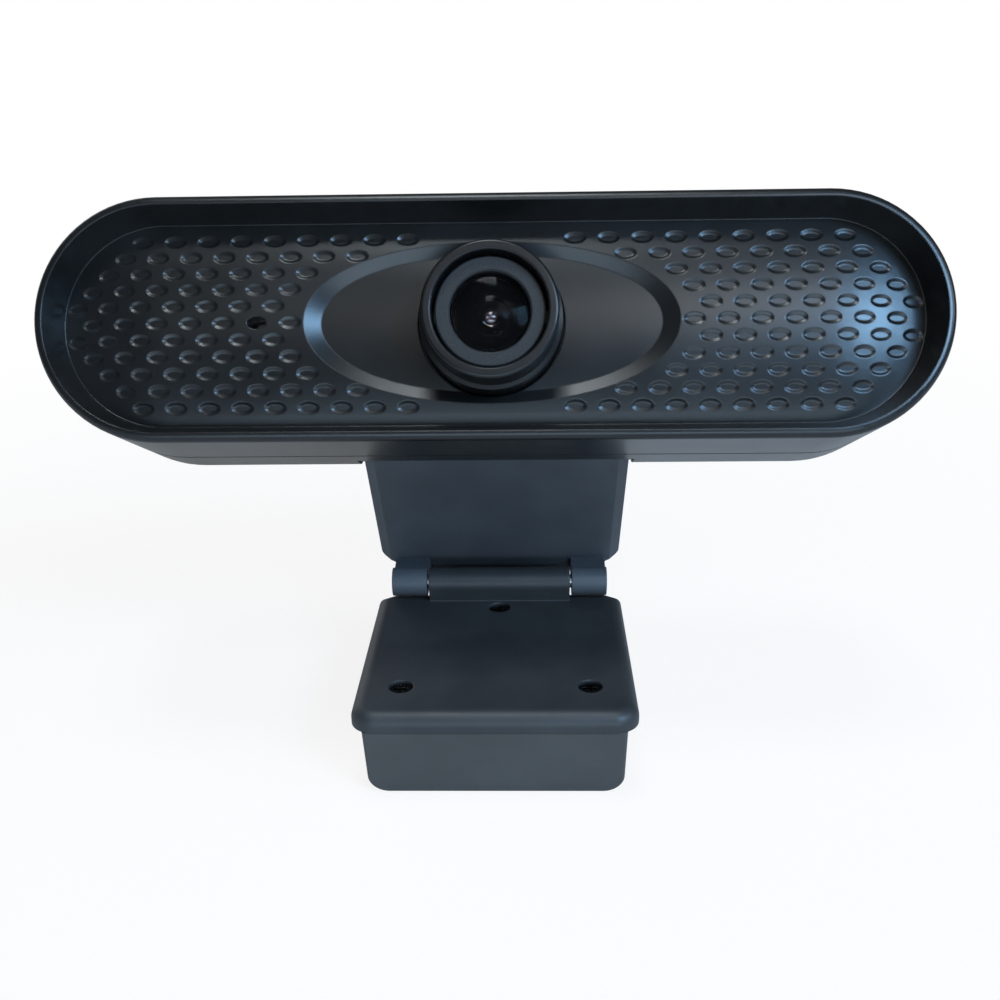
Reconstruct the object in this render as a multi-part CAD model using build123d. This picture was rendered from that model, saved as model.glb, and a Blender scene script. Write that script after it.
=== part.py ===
from build123d import *
import os
from math import asin, atan2, cos, degrees, hypot, radians, sin, sqrt

# Clip-on webcam. Millimetres, +Z up, +X to the right as seen from the front, front towards -Y.

# Clearances
SEAT_GAP = 0.05        # between pieces fixed to one another
RUNNING_GAP = 0.05     # radial, round a pin or thread that turns
MOVING_GAP = 0.3       # between pieces that move past one another
PART_GAP = 0.5         # between pieces on the circuit board
PAST = 1.0             # how far a cut runs past a face

# Camera head, in its own frame: X right, Y back from the rim, Z up
HEAD_WIDTH = 108.0
HEAD_HEIGHT = 29.0
HEAD_DEPTH = 25.0
HEAD_TILT = 26.8       # lens axis above the level, degrees
HEAD_RADIUS = HEAD_HEIGHT / 2
HEAD_STRAIGHT = HEAD_WIDTH / 2 - HEAD_RADIUS
SEAM_DEPTH = 13.0      # where the front and back covers meet
SEAM_BEVEL = 0.25
COVER_WALL = 1.8
BACK_ROUND = 4.5
RIM_WIDTH = 1.1
RIM_ROUND = 0.9
TONGUE_LENGTH = 2.0
TONGUE_WALL = 1.2

# Crowned front face, sunk behind the rim
FACE_INSET = 2.3
FACE_DEPTH = 4.0
FACE_CROWN = 48.0
FACE_WALL = 2.2
FACE_RADIUS = HEAD_RADIUS - FACE_INSET
CROWN_AXIS = FACE_DEPTH + sqrt(FACE_CROWN**2 - FACE_RADIUS**2)
FACE_FRONT = CROWN_AXIS - FACE_CROWN
FACE_BACK = FACE_FRONT + FACE_WALL

# Oval recess round the lens
EYE_WIDTH = 44.8
EYE_BORDER = 2.55      # face left above and below the recess
EYE_HEIGHT = 2 * (FACE_RADIUS - EYE_BORDER)
EYE_DEPTH = 0.9
EYE_SLOPE = 2.2        # run of the recess wall per depth

# Grid of shallow oval dimples
DIMPLE_LENGTH = 2.7
DIMPLE_HEIGHT = 1.6
DIMPLE_DEPTH = 0.18
DIMPLE_WALL = 0.42
DIMPLE_LIP = 0.12
DIMPLE_PITCH = 4.0
DIMPLE_ROW_STEP = 2.0
DIMPLE_EDGE = 1.0      # dimple centre to the edge of the face
DIMPLE_EYE_SIDE = 0.5  # dimple centre to the recess, sideways
DIMPLE_EYE_TOP = 1.25  # dimple centre to the recess, upwards
DIMPLE_ROWS = int((FACE_RADIUS - DIMPLE_EDGE) / DIMPLE_ROW_STEP)

# Microphone behind one hole of the grid, left of the lens
MIC_COLUMN = int(EYE_WIDTH / 2 / DIMPLE_PITCH) + 2
MIC_X = -MIC_COLUMN * DIMPLE_PITCH
MIC_HOLE_LENGTH = 2.3
MIC_HOLE_HEIGHT = 1.5
MIC_RADIUS = 3.0
MIC_LENGTH = 2.7
MIC_ROUND = 0.3
MIC_PORT_RADIUS = 0.6
MIC_PORT_DEPTH = 0.4
MIC_BOOT_WALL = 1.0
MIC_SEAT_RISE = 0.3    # pad behind the face that carries the boot
MIC_LEAD_RADIUS = 0.25
MIC_LEAD_PITCH = 2.0
MIC_SEAT = FACE_BACK + MIC_SEAT_RISE
MIC_FRONT = MIC_SEAT + MIC_BOOT_WALL + 2 * SEAT_GAP
MIC_BACK = MIC_FRONT + MIC_LENGTH

# Circuit board, depths counted back from the rim
BOARD_ROOM = 8.0       # from the board's front to the back of the head
BOARD_THICKNESS = 1.6
BOARD_FRONT = HEAD_DEPTH - BOARD_ROOM
BOARD_BACK = BOARD_FRONT + BOARD_THICKNESS

# Focus ring and lens
RING_FRONT = -3.0
RING_RADIUS = 8.0
RING_SKIRT = 0.5       # how much wider the ring is at its base
RING_BASE_RADIUS = RING_RADIUS + RING_SKIRT
RING_STEP = 0.8        # where the ring widens
RING_STEP_LENGTH = 0.3
RING_ROUND = 0.45
RING_MOUTH_ROUND = 0.25
RING_SEAT = 5.2        # where the face carries the ring's flange
RING_SEAT_WALL = 1.4
RING_FLANGE = 1.1      # how far the flange stands out
RING_FLANGE_LENGTH = 1.4
RING_FLANGE_FRONT = RING_SEAT + MOVING_GAP
RING_BACK = RING_FLANGE_FRONT + RING_FLANGE_LENGTH
RING_WALL = 1.25
RING_BORE = RING_RADIUS - RING_WALL
HOLDER_GAP = 0.4
HOLDER_FRONT = RING_BACK + HOLDER_GAP
HOLDER_FOOT = 2.5
HOLDER_RADIUS = 7.6
HOLDER_WIDTH = 26.0
HOLDER_SHELF_THICKNESS = 0.8
HOLDER_WINDOW = 3.5
HOLDER_CAVITY = 9.6
HOLDER_SCREW_X = 10.0
SENSOR_ROOM = 2.9      # from the holder's shelf to the board
HOLDER_SHELF = BOARD_FRONT - SENSOR_ROOM
KEY_WIDTH = 1.4
KEY_HEIGHT = 0.6       # how far a key stands into the ring's bore
BARREL_FRONT = -1.6
BARREL_HEAD_RADIUS = RING_BORE - MOVING_GAP
BARREL_HEAD_BACK = 6.0
FOCUS_ROOM = 0.6       # behind the barrel, for its travel
BARREL_BACK = HOLDER_SHELF - FOCUS_ROOM
BARREL_LIP = 0.8
BARREL_BEVEL = 0.2
THREAD_RADIUS = 6.0    # M12 x 0.5
LENS_APERTURE = 4.7
FRONT_BORE = 5.25
FRONT_BORE_BACK = 6.1
WAIST_BORE = 3.6
REAR_BORE = 4.3
REAR_BORE_DEPTH = 4.1
REAR_BORE_FRONT = BARREL_BACK - REAR_BORE_DEPTH
FRONT_GLASS_BACK = 0.9
FRONT_GLASS_CROWN = 14.0
FRONT_GLASS_HOLLOW = 7.0
FRONT_GLASS_HOLLOW_DEPTH = 1.1
BAFFLE_BACK = 4.2
BAFFLE_MOUTH = 4.4
BAFFLE_THROAT = 2.2
MIDDLE_GLASS_CROWN = 5.0
MIDDLE_GLASS_RISE = 0.4
RETAINER_ROOM = 1.7    # behind the rear glass
REAR_GLASS_BACK = BARREL_BACK - RETAINER_ROOM
REAR_GLASS_CROWN = 9.0
REAR_GLASS_RISE = 0.6
GLASS_MARGIN = 0.25    # dome edge inside the hole it looks through
RETAINER_BORE = 3.2
RETAINER_SLOT_DEPTH = 0.6
RETAINER_SLOT_WIDTH = 0.8

# Screws
SCREW_SHANK = 1.0
SCREW_CLEAR = 0.2
SCREW_HEAD = 1.9
SCREW_HEAD_HEIGHT = 1.2
CROSS_WIDTH = 0.5
CROSS_LENGTH = 0.7     # share of the head's width
SCREW_SPARE = 0.5      # hole left past the tip
COVER_SCREW_INSET = 7.5
COVER_SCREW_SINK = 8.0
COVER_SCREW_SPARE = 2.0
COVER_SCREW_X = HEAD_WIDTH / 2 - COVER_SCREW_INSET
COVER_SCREW_SEAT = HEAD_DEPTH - COVER_SCREW_SINK
COVER_SCREW_TIP = FACE_BACK + COVER_SCREW_SPARE
BOSS_RADIUS = 2.6
SLEEVE_WALL = 0.8

# Tilt hinge between the head and the arm, pivot in the head's frame
TILT_FROM_BACK = 5.5
TILT_FROM_UNDER = 3.0
TILT_PIVOT_Y = HEAD_DEPTH - TILT_FROM_BACK
TILT_PIVOT_Z = TILT_FROM_UNDER - HEAD_RADIUS
TILT_BARREL = 2.8
TILT_PIN_RADIUS = 1.0
TILT_PIN_IN = 8.0      # inner end of each pin from the middle
TILT_PIN_HOLD = 4.2    # length of pin held by the back cover
HOUSING_WALL = 1.8
NOTCH_FRONT = 1.9      # notch opening ahead of the pivot, at the underside
NOTCH_RISE = 1.1       # notch opening above the pivot, at the back
NOTCH_GAP = 0.4        # round the arm's barrel
NOTCH_RADIUS = TILT_BARREL + NOTCH_GAP

# Board outline and what stands on it
BOARD_PAST_MIC = 4.0   # end of the board past the microphone
BOARD_TOP_ROOM = 4.0
BOARD_LOW_ROOM = 1.0
BOARD_WIDTH = 2 * (BOARD_PAST_MIC - MIC_X)
BOARD_TOP = HEAD_RADIUS - BOARD_TOP_ROOM
BOARD_BOTTOM = TILT_PIVOT_Z + NOTCH_RADIUS + HOUSING_WALL + BOARD_LOW_ROOM
BOARD_MIDDLE = (BOARD_TOP + BOARD_BOTTOM) / 2
BOARD_CORNER = 1.5
POST_RADIUS = 2.2
POST_BORE_DEPTH = 8.0
POST_INSET = 2.5       # from the edges of the board
POST_SIDE = BOARD_WIDTH / 2 - POST_INSET
POST_LOW_SIDE = HOLDER_WIDTH / 2 + POST_RADIUS + MOVING_GAP
POST_HIGH = BOARD_TOP - POST_INSET
POST_LOW = BOARD_BOTTOM + POST_INSET
POST_SPOTS = (
    (-POST_SIDE, POST_HIGH),
    (POST_SIDE, POST_HIGH),
    (-POST_LOW_SIDE, POST_LOW),
    (POST_LOW_SIDE, POST_LOW),
)
POST_CLEAR = POST_LOW_SIDE + SCREW_HEAD + PART_GAP
HOLDER_MARGIN = 0.2    # board left under the holder
HOLDER_HEIGHT = -2 * (BOARD_BOTTOM + HOLDER_MARGIN)
FILTER_SIZE = 9.0
FILTER_THICKNESS = 0.5
SENSOR_WIDTH = 8.0
SENSOR_HEIGHT = 7.0
SENSOR_THICKNESS = 1.1
SENSOR_FRAME = 1.0
SENSOR_WINDOW_DEPTH = 0.2
CONTROLLER_SIZE = 9.0
CONTROLLER_THICKNESS = 0.9
CONTROLLER_BEVEL = 0.2
CONTROLLER_X = POST_CLEAR + CONTROLLER_SIZE / 2
CONTROLLER_Z = BOARD_BOTTOM + CONTROLLER_SIZE / 2 + PART_GAP
MEMORY_WIDTH = 5.0
MEMORY_HEIGHT = 4.0
MEMORY_THICKNESS = 1.6
MEMORY_SPAN = 6.0      # over the legs
MEMORY_LEG_PITCH = 1.27
MEMORY_LEG_WIDTH = 0.4
MEMORY_LEG_THICKNESS = 0.3
MEMORY_X = 3.5
MEMORY_Z = BOARD_TOP - MEMORY_SPAN / 2 - PART_GAP
CRYSTAL_WIDTH = 5.0
CRYSTAL_HEIGHT = 3.2
CRYSTAL_THICKNESS = 1.2
CRYSTAL_CORNER = 0.6
CRYSTAL_X = -MEMORY_X
CRYSTAL_Z = MEMORY_Z
SOCKET_WIDTH = 7.5
SOCKET_HEIGHT = 4.5
SOCKET_LENGTH = 4.0
SOCKET_WALL = 0.6
SOCKET_PIN = 0.4
SOCKET_PIN_PITCH = 1.25
SOCKET_X = -POST_CLEAR - SOCKET_WIDTH / 2
SOCKET_Z = BOARD_MIDDLE
SMALL_PART_COUNT = 7
SMALL_PART_PITCH = 2.0
SMALL_PART_WIDTH = 0.9
SMALL_PART_HEIGHT = 1.6
SMALL_PART_THIN = 0.6
SMALL_PART_STEP = 0.2
SMALL_PART_Z = BOARD_BOTTOM + SMALL_PART_HEIGHT / 2 + PART_GAP

# Cable inlet in the back
INLET_X = 0.0
INLET_Z = 4.5
INLET_RADIUS = 3.2
INLET_BORE = 1.9
INLET_FLANGE = 1.0     # width and thickness
INLET_ROUND = 0.4

# Arm, in its own frame: origin on the tilt pivot, Y back, Z up along the plate
ARM_WIDTH = 36.0
ARM_THICKNESS = 3.0
ARM_LEAN = 30.7        # forward of upright, degrees
ARM_DROP = 24.2        # clip hinge below the tilt pivot, along the plate
ARM_STEP = 6.58        # clip hinge ahead of the plate's middle
ARM_END = 2.1          # end of the full width past the clip hinge
ARM_CORNER = 1.2
ARM_CORNER_ROUND = 1.2
FOOT_STEP = 2.9        # step of the foot past the clip hinge
FOOT_END = 5.7         # end of the foot past the clip hinge
FOOT_SET_BACK = 0.8    # front of the foot behind the front of the plate
EAR_HIGH = 2.4         # root of the ears past the clip hinge
EAR_LOW = 4.9
EAR_NECK = 1.2         # thickness of the ears at the pin
ARM_EDGE_WIDE = 1.4
ARM_EDGE_DEEP = 0.9
NOTCH_HALF = ARM_WIDTH / 2 + MOVING_GAP

# Clip hinge between the arm and the seat
HINGE_INSET = 2.15     # from the sides of the arm
HINGE_EAR = 5.45       # width of each outer knuckle with its gap
HINGE_WIDTH = ARM_WIDTH - 2 * HINGE_INSET
HINGE_MIDDLE = HINGE_WIDTH - 2 * HINGE_EAR
HINGE_RADIUS = 2.1
HINGE_PIN_RADIUS = 1.0
PIN_INSET = 0.2
HINGE_Y = 18.9
HINGE_Z = 15.85

# Seat of the clip, standing with its lip on the table at Z 0
SEAT_MARGIN = 0.2      # seat past each side of the arm
SEAT_WIDTH = ARM_WIDTH + 2 * SEAT_MARGIN
SEAT_FRONT = -14.7
HINGE_FROM_BACK = 1.7  # clip hinge ahead of the back of the seat
HINGE_RISE = 0.35      # knuckles above the top of the seat
SEAT_BACK = HINGE_Y + HINGE_FROM_BACK
SEAT_TOP = HINGE_Z - HINGE_RADIUS - HINGE_RISE
SEAT_COVER = 2.6       # thickness of the top plate
SEAT_BASE = 2.6        # thickness of the lower plate
SEAT_SPLIT = SEAT_TOP - SEAT_COVER
SEAT_BOTTOM = SEAT_SPLIT - SEAT_BASE
SEAT_CORNER = 3.2
SEAT_ROUND = 1.8
SEAT_BACK_CUT = 1.7
HEEL_LENGTH = 2.4      # root of the knuckle on the top plate
HEEL_SINK = 0.6
BASE_INSET = 1.55      # lower plate and lip inside the top plate
LIP_WIDTH = SEAT_WIDTH - 2 * BASE_INSET
LIP_THICKNESS = 2.2
LIP_SET_BACK = 0.2     # top of the lip behind the cover's edge
LIP_LEAN = 2.5         # foot of the lip behind its top
LIP_CORNER = 2.7
LIP_ROUND = 0.5
CLIP_SCREW_INSET = 6.0
CLIP_SCREW_FRONT_INSET = 7.1
CLIP_SCREW_REAR_INSET = 5.5
CLIP_SCREW_SIDE = SEAT_WIDTH / 2 - CLIP_SCREW_INSET
CLIP_SCREW_FRONT = SEAT_FRONT + CLIP_SCREW_FRONT_INSET
CLIP_SCREW_REAR = SEAT_BACK - CLIP_SCREW_REAR_INSET
CLIP_SHANK = 0.9
CLIP_HEAD = 1.4
CLIP_HEAD_HEIGHT = 0.8
CLIP_SINK = 1.2        # depth of the screw pockets
CLIP_SCREW_FLOOR = 0.5
CLIP_SCREW_SPARE = 0.3
CLIP_SCREW_SPOTS = (
    (-CLIP_SCREW_SIDE, CLIP_SCREW_FRONT),
    (CLIP_SCREW_SIDE, CLIP_SCREW_FRONT),
    (0.0, CLIP_SCREW_REAR),
)

# Threaded insert for a camera screw, 1/4 inch
INSERT_Y = 1.0
INSERT_BORE = 3.175
INSERT_RADIUS = 4.5
INSERT_LENGTH = 4.0
INSERT_BOSS = 6.0

# Rear leg, in its own frame: origin on its pin, Y out along the leg
LEG_PIVOT_INSET = 7.6  # from the back of the seat
LUG_RADIUS = 2.3
LEG_PIVOT_Y = SEAT_BACK - LEG_PIVOT_INSET
LEG_PIVOT_Z = SEAT_BOTTOM - LUG_RADIUS
LEG_WIDTH = 24.0
LEG_LENGTH = 20.5
LEG_THICKNESS = 2.4
LEG_KNUCKLE = 2.2
LEG_SHOULDER_WIDTH = 3.2
LEG_KNUCKLE_WIDTH = LEG_WIDTH - 2 * LEG_SHOULDER_WIDTH
LEG_SHOULDER = 2.75    # where the full width starts
LEG_CORNER = 4.0
LEG_TIP_ROUND = 1.0
LEG_PIN_RADIUS = 0.8
LUG_WIDTH = 3.0
LUG_SPREAD = 2.4       # root of the lugs ahead of the pin
LUG_FRONT = LEG_PIVOT_Y - LUG_SPREAD
LUG_ROOT = 0.5         # overlap of the lugs with the lower plate
LUG_IN = LEG_KNUCKLE_WIDTH / 2 + MOVING_GAP
LUG_OUT = LUG_IN + LUG_WIDTH
STOP_GAP = 0.15

# Rubber pads
PAD_THICKNESS = 0.9
PAD_ROUND = 0.3
LIP_PAD_INSET = 2.65
LIP_PAD_WIDTH = LIP_WIDTH - 2 * LIP_PAD_INSET
LIP_PAD_LOW = 1.5
LIP_PAD_DROP = 1.2     # top of the pad under the seat
LIP_PAD_HIGH = SEAT_BOTTOM - LIP_PAD_DROP
SEAT_PAD_WIDTH = 3.2
SEAT_PAD_LENGTH = 17.0
SEAT_PAD_THICKNESS = 0.7
SEAT_PAD_CORNER = 1.0
SEAT_PAD_INSET = 2.1
SEAT_PAD_X = LIP_WIDTH / 2 - SEAT_PAD_INSET
LEG_PAD_SIDE = 2.5
LEG_PAD_END = 1.8
LEG_PAD_LENGTH = 9.2
LEG_PAD_WIDTH = LEG_WIDTH - 2 * LEG_PAD_SIDE
LEG_PAD_OUTER = LEG_LENGTH - LEG_PAD_END
LEG_PAD_INNER = LEG_PAD_OUTER - LEG_PAD_LENGTH
LEG_PAD_CORNER = 2.0
LEG_PAD_DROP = LEG_THICKNESS / 2 + PAD_THICKNESS
LEG_REACH = hypot(LEG_PAD_OUTER, LEG_PAD_DROP)
LEG_SPLAY = degrees(asin(LEG_PIVOT_Z / LEG_REACH) - atan2(LEG_PAD_DROP, LEG_PAD_OUTER))
LEG_TIP_Y = LEG_PIVOT_Y + (LEG_LENGTH - LEG_TIP_ROUND) * cos(radians(LEG_SPLAY)) + LEG_TIP_ROUND

# Middle of the footprint
ORIGIN_Y = (SEAT_FRONT + LEG_TIP_Y) / 2


# Shapes used by several pieces

def across(depth):
    return Plane.XZ.offset(-depth)


def prism(profile, front, back):
    return extrude(across(back) * profile, back - front)


def slab(profile, left, right):
    return extrude(Plane.YZ.offset(left) * profile, right - left)


def outline(*points):
    return make_face(Polyline(*points, close=True))


def rod(radius, front, back, x=0.0, z=0.0):
    return Pos(x, (front + back) / 2, z) * Rot(90, 0, 0) * Cylinder(radius, back - front)


def post(radius, bottom, top, x=0.0, y=0.0):
    return Pos(x, y, (bottom + top) / 2) * Cylinder(radius, top - bottom)


def axle(radius, left, right, y=0.0, z=0.0):
    return Pos((left + right) / 2, y, z) * Rot(0, 90, 0) * Cylinder(radius, right - left)


def block(width, front, back, height, x=0.0, z=0.0):
    return Pos(x, (front + back) / 2, z) * Box(width, back - front, height)


def turned(*points):
    profile = outline(*points)
    return revolve(Plane.XY * profile, Axis.Y)


def screw(shank, length, head, head_height):
    body = post(shank, -length, 0)
    body += post(head, 0, head_height)
    for angle in (0, 90):
        slot = Box(2 * CROSS_LENGTH * head, CROSS_WIDTH, head_height)
        body -= Pos(0, 0, head_height) * Rot(0, 0, angle) * slot
    return body


def head_screw(shank, length, head, head_height, seat, x, z):
    return Pos(x, seat, z) * Rot(-90, 0, 0) * screw(shank, length, head, head_height)


# Camera head covers

def stadium(inset=0.0):
    return SlotOverall(HEAD_WIDTH - 2 * inset, HEAD_HEIGHT - 2 * inset)


def crown(radius):
    body = axle(radius, -HEAD_STRAIGHT, HEAD_STRAIGHT)
    for side in (-1, 1):
        body += Pos(side * HEAD_STRAIGHT, 0, 0) * Sphere(radius)
    return Pos(0, CROWN_AXIS, 0) * body


def face_pocket():
    slope = (FACE_INSET - RIM_WIDTH) / FACE_DEPTH
    front = -PAST
    back = FACE_DEPTH + PAST
    mouth = across(front) * stadium(RIM_WIDTH + slope * front)
    floor = across(back) * stadium(RIM_WIDTH + slope * back)
    return loft([mouth, floor], ruled=True) - crown(FACE_CROWN)


def eye_recess():
    top_depth = CROWN_AXIS - sqrt(FACE_CROWN**2 - (EYE_HEIGHT / 2)**2)
    sections = []
    for depth in (FACE_FRONT - PAST / 2, top_depth + EYE_DEPTH + PAST):
        half_width = EYE_WIDTH / 2 - EYE_SLOPE * (depth - FACE_FRONT)
        half_height = EYE_HEIGHT / 2 - EYE_SLOPE * (depth - top_depth)
        sections.append(across(depth) * Ellipse(half_width, half_height))
    return loft(sections, ruled=True) - crown(FACE_CROWN - EYE_DEPTH)


def dimple_spots():
    spots = []
    side = EYE_WIDTH / 2 + DIMPLE_EYE_SIDE
    top = EYE_HEIGHT / 2 + DIMPLE_EYE_TOP
    columns = int(HEAD_WIDTH / DIMPLE_PITCH)
    for row in range(-DIMPLE_ROWS, DIMPLE_ROWS + 1):
        z = row * DIMPLE_ROW_STEP
        for column in range(-columns, columns + 1):
            x = (column + (row % 2) / 2) * DIMPLE_PITCH
            past_end = max(abs(x) - HEAD_STRAIGHT, 0)
            on_face = hypot(past_end, z) < FACE_RADIUS - DIMPLE_EDGE
            off_eye = (x / side)**2 + (z / top)**2 > 1
            if on_face and off_eye and (x, z) != (MIC_X, 0):
                spots.append((x, z))
    return spots


def dimple():
    levels = ((-DIMPLE_DEPTH, DIMPLE_WALL), (-DIMPLE_LIP / 2, DIMPLE_LIP), (DIMPLE_LIP / 2, -DIMPLE_LIP))
    sections = []
    for height, inset in levels:
        oval = Ellipse(DIMPLE_LENGTH / 2 - inset, DIMPLE_HEIGHT / 2 - inset)
        sections.append(Plane.XY.offset(height) * oval)
    return loft(sections, ruled=True)


def dimples():
    tool = dimple()
    pockets = []
    for x, z in dimple_spots():
        middle = max(-HEAD_STRAIGHT, min(HEAD_STRAIGHT, x))
        rise = sqrt(FACE_CROWN**2 - (x - middle)**2 - z**2)
        outward = Vector(x - middle, -rise, z).normalized()
        spot = Vector(middle, CROWN_AXIS, 0) + outward * FACE_CROWN
        along = Vector(1, 0, 0) - outward * outward.X
        pockets.append(Plane(origin=spot, x_dir=along, z_dir=outward).location * tool)
    return pockets


def behind_face(shape):
    return shape & crown(FACE_CROWN - FACE_WALL / 2)


def front_cover():
    body = prism(stadium(), 0, SEAM_DEPTH)
    body = fillet(body.edges().group_by(Axis.Y)[0], RIM_ROUND)
    body = chamfer(body.edges().group_by(Axis.Y)[-1], SEAM_BEVEL)
    body -= face_pocket()
    body -= prism(stadium(COVER_WALL), 0, SEAM_DEPTH) & crown(FACE_CROWN - FACE_WALL)
    for side in (-1, 1):
        body += behind_face(rod(BOSS_RADIUS, FACE_FRONT, SEAM_DEPTH, side * COVER_SCREW_X))
        body -= rod(SCREW_SHANK + SEAT_GAP, FACE_BACK, SEAM_DEPTH, side * COVER_SCREW_X)
    for x, z in POST_SPOTS:
        body += behind_face(rod(POST_RADIUS, FACE_FRONT, BOARD_FRONT - SEAT_GAP, x, z))
        body -= rod(SCREW_SHANK + SEAT_GAP, BOARD_FRONT - POST_BORE_DEPTH, BOARD_FRONT, x, z)
    flange_space = RING_BASE_RADIUS + RING_FLANGE + MOVING_GAP
    boot_space = MIC_RADIUS + MIC_BOOT_WALL + MOVING_GAP
    body += behind_face(rod(flange_space + RING_SEAT_WALL, FACE_FRONT, RING_SEAT))
    body -= rod(flange_space, RING_SEAT, SEAM_DEPTH)
    body += behind_face(rod(boot_space, FACE_FRONT, MIC_SEAT, MIC_X))
    body -= rod(boot_space, MIC_SEAT, SEAM_DEPTH, MIC_X)
    body -= eye_recess()
    body -= rod(RING_BASE_RADIUS + MOVING_GAP, 0, RING_BACK)
    mic_hole = Pos(MIC_X, 0) * Ellipse(MIC_HOLE_LENGTH / 2, MIC_HOLE_HEIGHT / 2)
    body -= prism(mic_hole, 0, SEAM_DEPTH)
    body -= dimples()
    return body


def tilt_notch():
    notch = axle(NOTCH_RADIUS, -NOTCH_HALF, NOTCH_HALF, TILT_PIVOT_Y, TILT_PIVOT_Z)
    low = -HEAD_RADIUS - PAST
    back = HEAD_DEPTH + PAST
    under = outline(
        (TILT_PIVOT_Y - NOTCH_FRONT, low),
        (back, low),
        (back, TILT_PIVOT_Z),
        (TILT_PIVOT_Y - NOTCH_FRONT, TILT_PIVOT_Z),
    )
    behind = outline(
        (TILT_PIVOT_Y, low),
        (back, low),
        (back, TILT_PIVOT_Z + NOTCH_RISE),
        (TILT_PIVOT_Y, TILT_PIVOT_Z + NOTCH_RISE),
    )
    for opening in (under, behind):
        notch += slab(opening, -NOTCH_HALF, NOTCH_HALF)
    return notch


def back_cover():
    front = SEAM_DEPTH + SEAT_GAP
    shape = prism(stadium(), front, HEAD_DEPTH)
    shape = fillet(shape.edges().group_by(Axis.Y)[-1], BACK_ROUND)
    shape = chamfer(shape.edges().group_by(Axis.Y)[0], SEAM_BEVEL)
    inner_back = HEAD_DEPTH - COVER_WALL
    cavity = prism(stadium(COVER_WALL), front - PAST, inner_back)
    cavity = fillet(cavity.edges().group_by(Axis.Y)[-1], BACK_ROUND - COVER_WALL)
    body = shape - cavity
    tongue_out = COVER_WALL + SEAT_GAP
    tongue_in = tongue_out + TONGUE_WALL
    body += prism(stadium(tongue_out) - stadium(tongue_in), SEAM_DEPTH - TONGUE_LENGTH, front + PAST)
    body += prism(stadium(COVER_WALL / 2) - stadium(tongue_in), front, front + TONGUE_WALL)
    hold = NOTCH_HALF + TILT_PIN_HOLD
    housing = axle(NOTCH_RADIUS + HOUSING_WALL, -hold, hold, TILT_PIVOT_Y, TILT_PIVOT_Z)
    body += housing & shape
    body -= tilt_notch()
    body -= axle(TILT_PIN_RADIUS + SEAT_GAP / 2, -hold, hold, TILT_PIVOT_Y, TILT_PIVOT_Z)
    pocket = SCREW_HEAD + SCREW_CLEAR
    for side in (-1, 1):
        x = side * COVER_SCREW_X
        body += rod(pocket + SLEEVE_WALL, front, inner_back, x) & shape
        body -= rod(SCREW_SHANK + SCREW_CLEAR, front - PAST, HEAD_DEPTH, x)
        body -= rod(pocket, COVER_SCREW_SEAT, HEAD_DEPTH + PAST, x)
    body -= rod(INLET_RADIUS, inner_back - PAST, HEAD_DEPTH + PAST, INLET_X, INLET_Z)
    return body


def cover_screws():
    length = COVER_SCREW_SEAT - COVER_SCREW_TIP
    screws = []
    for side in (-1, 1):
        seat = COVER_SCREW_SEAT + SEAT_GAP
        x = side * COVER_SCREW_X
        screws.append(head_screw(SCREW_SHANK, length, SCREW_HEAD, SCREW_HEAD_HEIGHT, seat, x, 0))
    return screws


def tilt_pins():
    outer = NOTCH_HALF + TILT_PIN_HOLD - SEAT_GAP
    left = axle(TILT_PIN_RADIUS, -outer, -TILT_PIN_IN, TILT_PIVOT_Y, TILT_PIVOT_Z)
    right = axle(TILT_PIN_RADIUS, TILT_PIN_IN, outer, TILT_PIVOT_Y, TILT_PIVOT_Z)
    return [left, right]


def cable_grommet():
    inner_back = HEAD_DEPTH - COVER_WALL
    flange = INLET_RADIUS + INLET_FLANGE
    body = rod(INLET_RADIUS - SEAT_GAP, inner_back - INLET_FLANGE, HEAD_DEPTH + INLET_FLANGE)
    body += rod(flange, HEAD_DEPTH + SEAT_GAP, HEAD_DEPTH + INLET_FLANGE)
    body += rod(flange, inner_back - INLET_FLANGE, inner_back - SEAT_GAP)
    body = fillet(body.edges().group_by(Axis.Y)[-1], INLET_ROUND)
    body -= rod(INLET_BORE, inner_back - INLET_FLANGE - PAST, HEAD_DEPTH + INLET_FLANGE + PAST)
    return Pos(INLET_X, 0, INLET_Z) * body


# Electronics in the head

def main_board():
    plan = RectangleRounded(BOARD_WIDTH, BOARD_TOP - BOARD_BOTTOM, BOARD_CORNER)
    body = prism(Pos(0, BOARD_MIDDLE) * plan, BOARD_FRONT, BOARD_BACK)
    for x, z in POST_SPOTS:
        body -= rod(SCREW_SHANK + SCREW_CLEAR, BOARD_FRONT, BOARD_BACK, x, z)
    for side in (-1, 1):
        body -= rod(SCREW_SHANK + SCREW_CLEAR, BOARD_FRONT, BOARD_BACK, side * HOLDER_SCREW_X)
    return body


def board_screws():
    length = BOARD_THICKNESS + POST_BORE_DEPTH - SCREW_SPARE
    screws = []
    for x, z in POST_SPOTS:
        seat = BOARD_BACK + SEAT_GAP
        screws.append(head_screw(SCREW_SHANK, length, SCREW_HEAD, SCREW_HEAD_HEIGHT, seat, x, z))
    return screws


def lens_holder():
    back = BOARD_FRONT - SEAT_GAP
    foot_front = back - HOLDER_FOOT
    shelf_back = HOLDER_SHELF + HOLDER_SHELF_THICKNESS
    body = block(HOLDER_WIDTH, foot_front, back, HOLDER_HEIGHT)
    body += rod(HOLDER_RADIUS, HOLDER_FRONT, shelf_back)
    body -= rod(THREAD_RADIUS + RUNNING_GAP, HOLDER_FRONT, HOLDER_SHELF)
    body -= rod(HOLDER_WINDOW, HOLDER_SHELF, back)
    body -= block(HOLDER_CAVITY, shelf_back, back, HOLDER_CAVITY)
    for side in (-1, 1):
        body -= rod(SCREW_SHANK + SEAT_GAP, foot_front, back, side * HOLDER_SCREW_X)
    return body


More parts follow.
